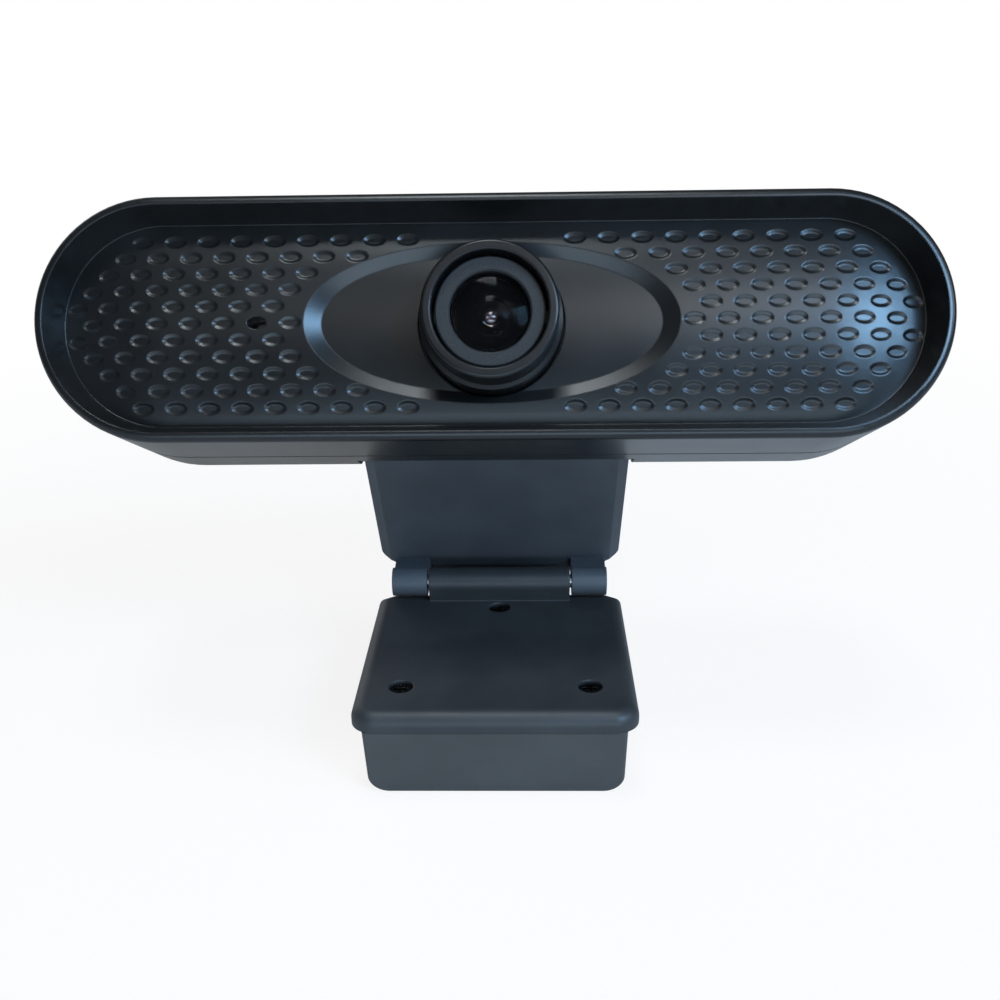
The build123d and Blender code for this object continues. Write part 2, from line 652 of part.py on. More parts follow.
def holder_screws():
    length = BOARD_THICKNESS + HOLDER_FOOT - SCREW_SPARE
    screws = []
    for side in (-1, 1):
        seat = BOARD_BACK + SEAT_GAP
        x = side * HOLDER_SCREW_X
        screws.append(head_screw(SCREW_SHANK, length, SCREW_HEAD, SCREW_HEAD_HEIGHT, seat, x, 0))
    return screws


def infrared_filter():
    front = HOLDER_SHELF + HOLDER_SHELF_THICKNESS + SEAT_GAP
    return block(FILTER_SIZE, front, front + FILTER_THICKNESS, FILTER_SIZE)


def image_sensor():
    back = BOARD_FRONT - SEAT_GAP
    front = back - SENSOR_THICKNESS
    body = block(SENSOR_WIDTH, front, back, SENSOR_HEIGHT)
    window_width = SENSOR_WIDTH - 2 * SENSOR_FRAME
    window_height = SENSOR_HEIGHT - 2 * SENSOR_FRAME
    return body - block(window_width, front, front + SENSOR_WINDOW_DEPTH, window_height)


def board_piece(width, thickness, height, x, z):
    front = BOARD_BACK + SEAT_GAP
    return block(width, front, front + thickness, height, x, z)


def controller_chip():
    body = board_piece(CONTROLLER_SIZE, CONTROLLER_THICKNESS, CONTROLLER_SIZE, CONTROLLER_X, CONTROLLER_Z)
    return chamfer(body.edges().group_by(Axis.Y)[-1], CONTROLLER_BEVEL)


def memory_chip():
    body = board_piece(MEMORY_WIDTH, MEMORY_THICKNESS, MEMORY_HEIGHT, MEMORY_X, MEMORY_Z)
    for leg in range(4):
        x = MEMORY_X + (leg - 1.5) * MEMORY_LEG_PITCH
        body += board_piece(MEMORY_LEG_WIDTH, MEMORY_LEG_THICKNESS, MEMORY_SPAN, x, MEMORY_Z)
    return body


def clock_crystal():
    body = board_piece(CRYSTAL_WIDTH, CRYSTAL_THICKNESS, CRYSTAL_HEIGHT, CRYSTAL_X, CRYSTAL_Z)
    return fillet(body.edges().filter_by(Axis.Y), CRYSTAL_CORNER)


def cable_socket():
    body = board_piece(SOCKET_WIDTH, SOCKET_LENGTH, SOCKET_HEIGHT, SOCKET_X, SOCKET_Z)
    mouth_width = SOCKET_WIDTH - 2 * SOCKET_WALL
    mouth_height = SOCKET_HEIGHT - 2 * SOCKET_WALL
    floor = BOARD_BACK + 2 * SOCKET_WALL
    body -= block(mouth_width, floor, floor + SOCKET_LENGTH, mouth_height, SOCKET_X, SOCKET_Z)
    for pin in range(4):
        x = SOCKET_X + (pin - 1.5) * SOCKET_PIN_PITCH
        body += board_piece(SOCKET_PIN, SOCKET_LENGTH - SOCKET_WALL, SOCKET_PIN, x, SOCKET_Z)
    return body


def small_parts():
    parts = []
    first = -(SMALL_PART_COUNT - 1) / 2 * SMALL_PART_PITCH
    for number in range(SMALL_PART_COUNT):
        thickness = SMALL_PART_THIN + SMALL_PART_STEP * (number % 3)
        x = first + number * SMALL_PART_PITCH
        parts.append(board_piece(SMALL_PART_WIDTH, thickness, SMALL_PART_HEIGHT, x, SMALL_PART_Z))
    return parts


def microphone():
    body = rod(MIC_RADIUS, MIC_FRONT, MIC_BACK, MIC_X)
    body = fillet(body.edges().group_by(Axis.Y)[0], MIC_ROUND)
    return body - rod(MIC_PORT_RADIUS, MIC_FRONT, MIC_FRONT + MIC_PORT_DEPTH, MIC_X)


def microphone_boot():
    front = MIC_SEAT + SEAT_GAP
    back = MIC_BACK + MIC_BOOT_WALL / 2
    body = rod(MIC_RADIUS + MIC_BOOT_WALL, front, back, MIC_X)
    body -= rod(MIC_RADIUS + SEAT_GAP, front + MIC_BOOT_WALL, back, MIC_X)
    return body - rod(MIC_HOLE_LENGTH / 2, front, back, MIC_X)


def microphone_leads():
    front = MIC_BACK + SEAT_GAP
    back = BOARD_FRONT - SEAT_GAP
    leads = []
    for side in (-1, 1):
        leads.append(rod(MIC_LEAD_RADIUS, front, back, MIC_X + side * MIC_LEAD_PITCH / 2))
    return leads


# Focus ring and lens

def focus_ring():
    flange = RING_BASE_RADIUS + RING_FLANGE
    step_back = RING_STEP + RING_STEP_LENGTH
    body = turned(
        (RING_BORE, RING_FRONT),
        (RING_RADIUS, RING_FRONT),
        (RING_RADIUS, RING_STEP),
        (RING_BASE_RADIUS, step_back),
        (RING_BASE_RADIUS, RING_FLANGE_FRONT),
        (flange, RING_FLANGE_FRONT),
        (flange, RING_BACK),
        (RING_BORE, RING_BACK),
    )
    front_edges = body.edges().group_by(Axis.Y)[0].sort_by(SortBy.RADIUS)
    body = fillet(front_edges[-1], RING_ROUND)
    front_edges = body.edges().group_by(Axis.Y)[0].sort_by(SortBy.RADIUS)
    body = fillet(front_edges[0], RING_MOUTH_ROUND)
    key_root = RING_BORE + RING_WALL / 2
    key_tip = RING_BORE - KEY_HEIGHT
    for side in (-1, 1):
        x = side * (key_root + key_tip) / 2
        body += block(key_root - key_tip, step_back, RING_BACK, KEY_WIDTH, x)
    return body


def lens_barrel():
    body = turned(
        (LENS_APERTURE, BARREL_FRONT + BARREL_BEVEL),
        (LENS_APERTURE + BARREL_BEVEL, BARREL_FRONT),
        (BARREL_HEAD_RADIUS - BARREL_BEVEL, BARREL_FRONT),
        (BARREL_HEAD_RADIUS, BARREL_FRONT + BARREL_BEVEL),
        (BARREL_HEAD_RADIUS, BARREL_HEAD_BACK),
        (THREAD_RADIUS, BARREL_HEAD_BACK),
        (THREAD_RADIUS, BARREL_BACK),
        (REAR_BORE, BARREL_BACK),
        (REAR_BORE, REAR_BORE_FRONT),
        (WAIST_BORE, REAR_BORE_FRONT),
        (WAIST_BORE, FRONT_BORE_BACK),
        (FRONT_BORE, FRONT_BORE_BACK),
        (FRONT_BORE, BARREL_FRONT + BARREL_LIP),
        (LENS_APERTURE, BARREL_FRONT + BARREL_LIP),
    )
    slot_floor = RING_BORE - KEY_HEIGHT - MOVING_GAP
    slot_depth = RING_BORE - slot_floor
    slot_width = KEY_WIDTH + 2 * MOVING_GAP
    for side in (-1, 1):
        x = side * (slot_floor + slot_depth / 2)
        body -= block(slot_depth, RING_STEP - MOVING_GAP, BARREL_HEAD_BACK, slot_width, x)
    return body


def front_element():
    radius = FRONT_BORE - SEAT_GAP
    edge = BARREL_FRONT + BARREL_LIP + SEAT_GAP
    sag = FRONT_GLASS_CROWN - sqrt(FRONT_GLASS_CROWN**2 - LENS_APERTURE**2)
    body = rod(radius, edge, FRONT_GLASS_BACK)
    dome = Pos(0, edge - sag + FRONT_GLASS_CROWN, 0) * Sphere(FRONT_GLASS_CROWN)
    body += dome & rod(LENS_APERTURE - SEAT_GAP, edge - 2 * sag, FRONT_GLASS_BACK)
    hollow_middle = FRONT_GLASS_BACK - FRONT_GLASS_HOLLOW_DEPTH + FRONT_GLASS_HOLLOW
    return body - Pos(0, hollow_middle, 0) * Sphere(FRONT_GLASS_HOLLOW)


def lens_baffle():
    front = FRONT_GLASS_BACK + SEAT_GAP
    radius = FRONT_BORE - SEAT_GAP
    return turned(
        (BAFFLE_MOUTH, front),
        (radius, front),
        (radius, BAFFLE_BACK),
        (BAFFLE_THROAT, BAFFLE_BACK),
    )


def middle_element():
    front = BAFFLE_BACK + SEAT_GAP
    body = rod(FRONT_BORE - SEAT_GAP, front, FRONT_BORE_BACK - SEAT_GAP)
    dome = Pos(0, front - MIDDLE_GLASS_RISE + MIDDLE_GLASS_CROWN, 0) * Sphere(MIDDLE_GLASS_CROWN)
    return body + (dome & rod(BAFFLE_THROAT - GLASS_MARGIN, front - PAST, front + PAST))


def rear_element():
    front = REAR_BORE_FRONT + SEAT_GAP
    body = rod(REAR_BORE - SEAT_GAP, front, REAR_GLASS_BACK)
    dome = Pos(0, front - REAR_GLASS_RISE + REAR_GLASS_CROWN, 0) * Sphere(REAR_GLASS_CROWN)
    return body + (dome & rod(WAIST_BORE - GLASS_MARGIN, front - PAST, front + PAST))


def lens_retainer():
    front = REAR_GLASS_BACK + SEAT_GAP
    back = BARREL_BACK - SEAT_GAP
    body = rod(REAR_BORE - SEAT_GAP, front, back) - rod(RETAINER_BORE, front, back)
    return body - block(2 * THREAD_RADIUS, back - RETAINER_SLOT_DEPTH, back, RETAINER_SLOT_WIDTH)


# Arm

def arm_plate():
    half = ARM_WIDTH / 2
    front = -ARM_THICKNESS / 2
    back = ARM_THICKNESS / 2
    end = -ARM_DROP - ARM_END
    foot_step = -ARM_DROP - FOOT_STEP
    foot_end = -ARM_DROP - FOOT_END
    hinge_half = HINGE_WIDTH / 2
    plan = outline(
        (-half, 0),
        (half, 0),
        (half, end + ARM_CORNER),
        (hinge_half, end),
        (hinge_half, foot_end),
        (-hinge_half, foot_end),
        (-hinge_half, end),
        (-half, end + ARM_CORNER),
    )
    levels = plan.vertices().group_by(Axis.Y)
    plan = fillet(levels[1] + levels[2], ARM_CORNER_ROUND)
    body = prism(plan, front, back)
    for side in (-1, 1):
        edge = outline(
            (side * (half - 2 * ARM_EDGE_WIDE), front - ARM_EDGE_DEEP),
            (side * (half + ARM_EDGE_WIDE), front - ARM_EDGE_DEEP),
            (side * (half + ARM_EDGE_WIDE), front + 2 * ARM_EDGE_DEEP),
        )
        body -= Pos(0, 0, foot_end) * extrude(edge, -foot_end)
    body += axle(TILT_BARREL, -half, half)
    set_back = outline(
        (front, foot_step),
        (front + FOOT_SET_BACK, foot_step),
        (front + FOOT_SET_BACK, foot_end),
        (front, foot_end),
    )
    body -= slab(set_back, -hinge_half, hinge_half)
    root_middle = Pos(front + (ARM_THICKNESS + FOOT_SET_BACK) / 2, -ARM_DROP - (EAR_HIGH + EAR_LOW) / 2)
    root = root_middle * Rectangle(ARM_THICKNESS - FOOT_SET_BACK, EAR_LOW - EAR_HIGH)
    neck = Pos(-ARM_STEP, -ARM_DROP) * Circle(EAR_NECK / 2)
    eye = Pos(-ARM_STEP, -ARM_DROP) * Circle(HINGE_RADIUS)
    ear = make_hull(root.edges() + neck.edges()) + eye
    ear_in = HINGE_MIDDLE / 2 + MOVING_GAP
    body += slab(ear, ear_in, hinge_half)
    body += slab(ear, -hinge_half, -ear_in)
    for side in (-1, 1):
        ends = sorted((side * (TILT_PIN_IN - MOVING_GAP), side * (half + PAST)))
        body -= axle(TILT_PIN_RADIUS + RUNNING_GAP, ends[0], ends[1])
    body -= axle(HINGE_PIN_RADIUS + SEAT_GAP / 2, -half, half, -ARM_STEP, -ARM_DROP)
    return body


def clip_pin():
    half = HINGE_WIDTH / 2 - PIN_INSET
    return axle(HINGE_PIN_RADIUS, -half, half, -ARM_STEP, -ARM_DROP)


# Seat of the clip

def seat_plan(inset):
    half = SEAT_WIDTH / 2 - inset
    cut_half = HINGE_WIDTH / 2 - inset
    front = SEAT_FRONT + inset
    back = SEAT_BACK - inset
    plan = outline(
        (-half, front),
        (half, front),
        (half, back - SEAT_BACK_CUT),
        (cut_half, back),
        (-cut_half, back),
        (-half, back - SEAT_BACK_CUT),
    )
    return fillet(plan.vertices().group_by(Axis.Y)[0], SEAT_CORNER)


def clip_cover():
    body = Pos(0, 0, SEAT_SPLIT) * extrude(seat_plan(0), SEAT_TOP - SEAT_SPLIT)
    body = fillet(body.edges().group_by(Axis.Z)[-1], SEAT_ROUND)
    heel_height = SEAT_COVER - HEEL_SINK
    heel_middle = Pos(HINGE_Y, SEAT_SPLIT + heel_height / 2)
    heel = heel_middle * Rectangle(HEEL_LENGTH, heel_height)
    eye = Pos(HINGE_Y, HINGE_Z) * Circle(HINGE_RADIUS)
    knuckle = make_hull(heel.edges() + eye.edges())
    half = HINGE_MIDDLE / 2
    body += slab(knuckle, -half, half)
    body -= axle(HINGE_PIN_RADIUS + RUNNING_GAP, -half, half, HINGE_Y, HINGE_Z)
    boss_top = SEAT_BOTTOM + INSERT_LENGTH
    body -= post(INSERT_BOSS + SEAT_GAP, SEAT_SPLIT, boss_top + SEAT_GAP, 0, INSERT_Y)
    for x, y in CLIP_SCREW_SPOTS:
        body -= post(CLIP_SHANK + SCREW_CLEAR, SEAT_SPLIT, SEAT_TOP, x, y)
        body -= post(CLIP_HEAD + SCREW_CLEAR, SEAT_TOP - CLIP_SINK, HINGE_Z + HINGE_RADIUS, x, y)
    return body


def lip_profile():
    top = SEAT_SPLIT - SEAT_GAP
    front_top = SEAT_FRONT + LIP_SET_BACK
    return outline(
        (front_top, top),
        (front_top + LIP_LEAN, 0),
        (front_top + LIP_LEAN + LIP_THICKNESS, 0),
        (front_top + LIP_THICKNESS, top),
    )


def lip():
    half = LIP_WIDTH / 2
    body = slab(lip_profile(), -half, half)
    feet = body.faces().sort_by(Axis.Z)[0].edges()
    corners = feet.filter_by(Axis.Y)
    body = fillet(corners, LIP_CORNER)
    front = min(body.faces(), key=lambda face: face.normal_at().Y)
    rim = front.edges().sort_by(Axis.Z)[:-1]
    return fillet(rim, LIP_ROUND)


def lug_profile():
    length = SEAT_BACK - BASE_INSET - LUG_FRONT
    root = Pos(LUG_FRONT + length / 2, SEAT_BOTTOM + LUG_ROOT / 2) * Rectangle(length, LUG_ROOT)
    eye = Pos(LEG_PIVOT_Y, LEG_PIVOT_Z) * Circle(LUG_RADIUS)
    return make_hull(root.edges() + eye.edges())


def leg_top_at(y):
    splay = radians(LEG_SPLAY)
    along = (y - LEG_PIVOT_Y - LEG_THICKNESS / 2 * sin(splay)) / cos(splay)
    return LEG_PIVOT_Z - along * sin(splay) + LEG_THICKNESS / 2 * cos(splay)


def clip_base():
    body = Pos(0, 0, SEAT_BOTTOM) * extrude(seat_plan(BASE_INSET), SEAT_SPLIT - SEAT_GAP - SEAT_BOTTOM)
    body += lip()
    stop_back = SEAT_BACK - BASE_INSET
    sweep = Pos(LEG_PIVOT_Y, LEG_PIVOT_Z) * Circle(LEG_SHOULDER - MOVING_GAP)
    under_stop = outline(
        (LEG_PIVOT_Y, leg_top_at(LEG_PIVOT_Y) + STOP_GAP),
        (stop_back + PAST, leg_top_at(stop_back + PAST) + STOP_GAP),
        (stop_back + PAST, 0),
        (LEG_PIVOT_Y, 0),
    )
    lug = lug_profile() - (under_stop - sweep)
    for left in (LUG_IN, -LUG_OUT):
        body += slab(lug, left, left + LUG_WIDTH)
    body -= axle(LEG_PIN_RADIUS + SEAT_GAP / 2, -LUG_OUT, LUG_OUT, LEG_PIVOT_Y, LEG_PIVOT_Z)
    boss_top = SEAT_BOTTOM + INSERT_LENGTH
    body += post(INSERT_BOSS, SEAT_BOTTOM, boss_top, 0, INSERT_Y)
    body -= post(INSERT_RADIUS + SEAT_GAP / 2, SEAT_BOTTOM, boss_top, 0, INSERT_Y)
    for x, y in CLIP_SCREW_SPOTS:
        body -= post(CLIP_SHANK + SEAT_GAP, SEAT_BOTTOM + CLIP_SCREW_FLOOR, SEAT_SPLIT, x, y)
    return body


def clip_screws():
    seat = SEAT_TOP - CLIP_SINK + SEAT_GAP
    length = seat - SEAT_BOTTOM - CLIP_SCREW_FLOOR - CLIP_SCREW_SPARE
    screws = []
    for x, y in CLIP_SCREW_SPOTS:
        screws.append(Pos(x, y, seat) * screw(CLIP_SHANK, length, CLIP_HEAD, CLIP_HEAD_HEIGHT))
    return screws


def tripod_insert():
    top = SEAT_BOTTOM + INSERT_LENGTH - SEAT_GAP
    body = post(INSERT_RADIUS, SEAT_BOTTOM, top, 0, INSERT_Y)
    return body - post(INSERT_BORE, SEAT_BOTTOM, top, 0, INSERT_Y)


def lip_pad():
    inner_foot = SEAT_FRONT + LIP_SET_BACK + LIP_LEAN + LIP_THICKNESS
    slope = LIP_LEAN / (SEAT_SPLIT - SEAT_GAP)
    low = inner_foot - slope * LIP_PAD_LOW + SEAT_GAP
    high = inner_foot - slope * LIP_PAD_HIGH + SEAT_GAP
    profile = outline(
        (low, LIP_PAD_LOW),
        (low + PAD_THICKNESS, LIP_PAD_LOW),
        (high + PAD_THICKNESS, LIP_PAD_HIGH),
        (high, LIP_PAD_HIGH),
    )
    half = LIP_PAD_WIDTH / 2
    body = slab(profile, -half, half)
    return fillet(body.edges().filter_by(GeomType.LINE).filter_by(Axis.X).group_by(Axis.Y)[-1], PAD_ROUND)


def seat_pads():
    top = SEAT_BOTTOM - SEAT_GAP
    pads = []
    for side in (-1, 1):
        plan = RectangleRounded(SEAT_PAD_WIDTH, SEAT_PAD_LENGTH, SEAT_PAD_CORNER)
        pad = extrude(plan, SEAT_PAD_THICKNESS)
        pads.append(Pos(side * SEAT_PAD_X, INSERT_Y, top - SEAT_PAD_THICKNESS) * pad)
    return pads


def leg_pin():
    half = LUG_OUT - PIN_INSET
    return axle(LEG_PIN_RADIUS, -half, half, LEG_PIVOT_Y, LEG_PIVOT_Z)


# Rear leg

def rear_leg():
    half = LEG_WIDTH / 2
    neck = LEG_KNUCKLE_WIDTH / 2
    plan = outline((-half, LEG_SHOULDER), (half, LEG_SHOULDER), (half, LEG_LENGTH), (-half, LEG_LENGTH))
    plan = fillet(plan.vertices().group_by(Axis.Y)[-1], LEG_CORNER)
    thick = LEG_THICKNESS / 2
    body = Pos(0, 0, -thick) * extrude(plan, LEG_THICKNESS)
    faces = body.faces().sort_by(Axis.Z)
    rim = faces[0].edges() + faces[-1].edges()
    body = fillet(rim.sort_by(Axis.Y).filter_by(lambda edge: edge.center().Y > LEG_SHOULDER), LEG_TIP_ROUND)
    body += block(2 * neck, 0, LEG_SHOULDER + LEG_THICKNESS / 2, LEG_THICKNESS)
    body += axle(LEG_KNUCKLE, -neck, neck)
    return body - axle(LEG_PIN_RADIUS + RUNNING_GAP, -neck, neck)


def leg_pad():
    length = LEG_PAD_OUTER - LEG_PAD_INNER
    plan = RectangleRounded(LEG_PAD_WIDTH, length, LEG_PAD_CORNER)
    pad = extrude(plan, PAD_THICKNESS - SEAT_GAP)
    return Pos(0, (LEG_PAD_OUTER + LEG_PAD_INNER) / 2, -LEG_PAD_DROP) * pad


# Placing the bodies and writing the files

def turned_point(y, z, angle):
    turn = radians(angle)
    return y * cos(turn) - z * sin(turn), y * sin(turn) + z * cos(turn)


def tilt_pivot():
    y, z = turned_point(-ARM_STEP, -ARM_DROP, ARM_LEAN)
    return HINGE_Y - ORIGIN_Y - y, HINGE_Z - z


def head_place():
    pivot_y, pivot_z = tilt_pivot()
    y, z = turned_point(TILT_PIVOT_Y, TILT_PIVOT_Z, -HEAD_TILT)
    return Pos(0, pivot_y - y, pivot_z - z) * Rot(-HEAD_TILT, 0, 0)


def arm_place():
    pivot_y, pivot_z = tilt_pivot()
    return Pos(0, pivot_y, pivot_z) * Rot(ARM_LEAN, 0, 0)


def seat_place():
    return Pos(0, -ORIGIN_Y, 0)


def leg_place():
    return Pos(0, LEG_PIVOT_Y - ORIGIN_Y, LEG_PIVOT_Z) * Rot(-LEG_SPLAY, 0, 0)


HEAD_PIECES = (
    front_cover,
    back_cover,
    cover_screws,
    tilt_pins,
    cable_grommet,
    main_board,
    board_screws,
    lens_holder,
    holder_screws,
    infrared_filter,
    image_sensor,
    controller_chip,
    memory_chip,
    clock_crystal,
    cable_socket,
    small_parts,
    microphone,
    microphone_boot,
    microphone_leads,
    focus_ring,
    lens_barrel,
    front_element,
    lens_baffle,
    middle_element,
    rear_element,
    lens_retainer,
)
ARM_PIECES = (arm_plate, clip_pin)
SEAT_PIECES = (clip_cover, clip_base, clip_screws, tripod_insert, lip_pad, seat_pads, leg_pin)
LEG_PIECES = (rear_leg, leg_pad)


def write_pieces(makers, place):
    for maker in makers:
        made = maker()
        pieces = made if isinstance(made, list) else [made]
        placed = [place * piece for piece in pieces]
        export_step(Compound(placed), f"parts/{maker.__name__}.step")


if __name__ == "__main__":
    os.makedirs("parts", exist_ok=True)
    write_pieces(HEAD_PIECES, head_place())
    write_pieces(ARM_PIECES, arm_place())
    write_pieces(SEAT_PIECES, seat_place())
    write_pieces(LEG_PIECES, leg_place())
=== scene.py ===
from math import cos, pi, radians, sin

import bpy
from mathutils import Matrix, Vector


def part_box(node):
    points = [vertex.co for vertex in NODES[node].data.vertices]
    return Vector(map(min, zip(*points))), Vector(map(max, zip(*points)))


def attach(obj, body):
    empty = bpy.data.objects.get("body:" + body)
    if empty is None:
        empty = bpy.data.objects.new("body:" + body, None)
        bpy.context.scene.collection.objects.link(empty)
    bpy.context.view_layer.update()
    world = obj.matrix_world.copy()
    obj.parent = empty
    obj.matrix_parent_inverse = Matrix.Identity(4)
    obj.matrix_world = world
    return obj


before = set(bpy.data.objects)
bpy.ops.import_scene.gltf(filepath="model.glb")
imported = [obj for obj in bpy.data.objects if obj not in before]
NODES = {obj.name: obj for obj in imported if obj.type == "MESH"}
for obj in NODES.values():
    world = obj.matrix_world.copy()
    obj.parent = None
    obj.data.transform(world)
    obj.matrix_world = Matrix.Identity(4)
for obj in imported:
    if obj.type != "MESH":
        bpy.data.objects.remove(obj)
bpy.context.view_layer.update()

# Head frame: X right, Y back along the lens axis, Z up, origin in the middle of the rim
HEAD_TILT = radians(26.8)
RIM_MIDDLE = Vector((0.0, -0.009209, 0.059075))

# Camera, fitted to the photograph in the head frame: angles in radians, places in metres,
# the focal length, the centre's row and the picture's width in pixels
CAMERA_YAW = 0.0254
CAMERA_ROLL = 0.0036
CAMERA_SIDE = -0.001105
CAMERA_DROP = -0.03434
CAMERA_DISTANCE = 0.12916
CAMERA_FOCAL = 1110.0
CAMERA_CENTRE = 610.0
PICTURE = 1000.0
SENSOR_WIDTH = 36.0
NEAREST_SEEN = 0.005

# Lens stop: radius and depth along the lens axis, from the hole outwards
STOP_SIDES = 96
STOP_PROFILE = (
    (0.00115, 0.00175),
    (0.00150, 0.00155),
    (0.00220, 0.00150),
    (0.00230, 0.00135),
    (0.00415, 0.00110),
)
STOP_WALL = 0.00012

# Bead in the stop's hole: the ball it is cut from, its edge, and how deep its back lies
BEAD_SEGMENTS = 64
BEAD_RINGS = 48
BEAD_CROWN = 0.00135
BEAD_EDGE = 0.00110
BEAD_BACK = 0.00170
CUT_TOLERANCE = 0.0000001
SMOOTH_BELOW = radians(30.0)

# Repeated lines in the finishes, in radians per metre, and where the insert's bore ends
RING_MOULD_LINES = 52000.0
BAFFLE_RIDGES = 15700.0
PAD_RIBS = 5200.0
NO_RIBS = 0.0
INSERT_THREAD = 4947.4
INSERT_BORE = 0.0034
INSERT_BODY = 0.0036

# How strongly the surfaces bend and mirror light
PLASTIC_INDEX = 1.5
SATIN_INDEX = 1.4
GLASS_INDEX = 1.52
FILTER_INDEX = 1.5
BEAD_INDEX = 2.0
DULL_SHINE = 0.05

# Colours. The floor is warm in view, so that its shadow stays grey under the bluish lamps
WHITE = (1.0, 1.0, 1.0, 1.0)
BRASS = (0.78, 0.56, 0.22, 1.0)
BRASS_TARNISHED = (0.52, 0.34, 0.11, 1.0)
MASK_GREEN = (0.006, 0.075, 0.028, 1.0)
MASK_OVER_TRACK = (0.018, 0.16, 0.055, 1.0)
TINNED_PAD = (0.62, 0.6, 0.55, 1.0)
FILTER_BLUE = (0.45, 0.82, 0.85, 1.0)
FILTER_PALE = (0.6, 0.9, 0.85, 1.0)
NYLON_DARK = (0.7, 0.67, 0.58, 1.0)
NYLON_LIGHT = (0.82, 0.8, 0.72, 1.0)
STEEL_TARNISHED = (0.34, 0.33, 0.31, 1.0)
STEEL_BRIGHT = (0.62, 0.62, 0.62, 1.0)
FRONT_GLASS_TINT = (0.95, 0.97, 1.0, 1.0)
INNER_GLASS_TINT = (0.75, 0.70, 0.72, 1.0)
INNER_GLASS_GLINT = (1.0, 0.86, 0.9, 1.0)
BEAD_TINT = (0.55, 0.30, 0.30, 1.0)
BEAD_GLINT = (1.0, 0.92, 0.95, 1.0)
ROOM_DARK = (0.045, 0.05, 0.055, 1.0)
FLOOR_IN_VIEW = (0.98, 0.9, 0.85, 1.0)
FLOOR_GLOW = (0.84, 0.92, 1.0, 1.0)

# How much of the white background shows in reflections and through glass
ROOM_SHARE = 0.05
FLOOR_SHARE = 0.2

# Floor: its width, its own faint glow, and how strongly the shadow shows near the object
FLOOR_WIDTH = 6.0
FLOOR_GLOW_STRENGTH = 0.05
SHADOW_NEAR = 0.05
SHADOW_FAR = 0.30
SHADOW_STRENGTH = 0.14

# Lamps: name, place, target, width, height, glow, colour
LAMP_TARGET = (0.0, -0.005, 0.05)
SEAT_TARGET = (0.0, -0.01, 0.0134)
LIP_TARGET = (0.0, 0.0, 0.03)
LAMPS = (
    ("window_right", (0.44, -0.51, 0.52), LAMP_TARGET, 0.26, 0.22, 32.0, (0.33, 0.63, 1.0)),
    ("panel_front", (0.0, -0.57, 0.62), LAMP_TARGET, 0.5, 0.2, 0.95, (1.0, 0.98, 0.95)),
    ("panel_front_right", (0.20, -0.55, 0.62), LAMP_TARGET, 0.2, 0.2, 4.0, (1.0, 0.96, 0.92)),
    ("panel_side_right", (0.69, -0.20, 0.40), LAMP_TARGET, 0.2, 0.2, 6.0, (0.80, 0.90, 1.0)),
    ("ceiling_front", (-0.03, -0.104, 0.60), SEAT_TARGET, 0.16, 0.16, 15.0, (0.86, 0.95, 1.0)),
    ("panel_front_low", (0.05, -0.50, 0.055), LIP_TARGET, 0.5, 0.11, 5.2, (0.62, 0.82, 1.0)),
    ("screen_back_left", (-0.55, 0.62, 0.32), LAMP_TARGET, 0.6, 0.6, 0.9, (0.92, 0.97, 1.0)),
)


# Shader building

class Wire:
    """An output socket, whose values can be added, multiplied and so on."""

    def __init__(self, finish, socket):
        self.finish = finish
        self.socket = socket

    def maths(self, operation, first, second):
        settings = {"operation": operation}
        return self.finish.node("ShaderNodeMath", settings, {0: first, 1: second})["Value"]

    def __add__(self, other):
        return self.maths("ADD", self, other)

    def __radd__(self, other):
        return self.maths("ADD", other, self)

    def __sub__(self, other):
        return self.maths("SUBTRACT", self, other)

    def __rsub__(self, other):
        return self.maths("SUBTRACT", other, self)

    def __mul__(self, other):
        return self.maths("MULTIPLY", self, other)

    def __rmul__(self, other):
        return self.maths("MULTIPLY", other, self)

    def __pow__(self, other):
        return self.maths("POWER", self, other)

    def sine(self):
        return self.maths("SINE", self, 0.0)

    def angle_over(self, other):
        return self.maths("ARCTAN2", self, other)

    def highest(self, other):
        return self.maths("MAXIMUM", self, other)


class Made:
    """A node whose outputs are picked by name."""

    def __init__(self, finish, node):
        self.finish = finish
        self.node = node

    def __getitem__(self, name):
        return Wire(self.finish, self.node.outputs[name])


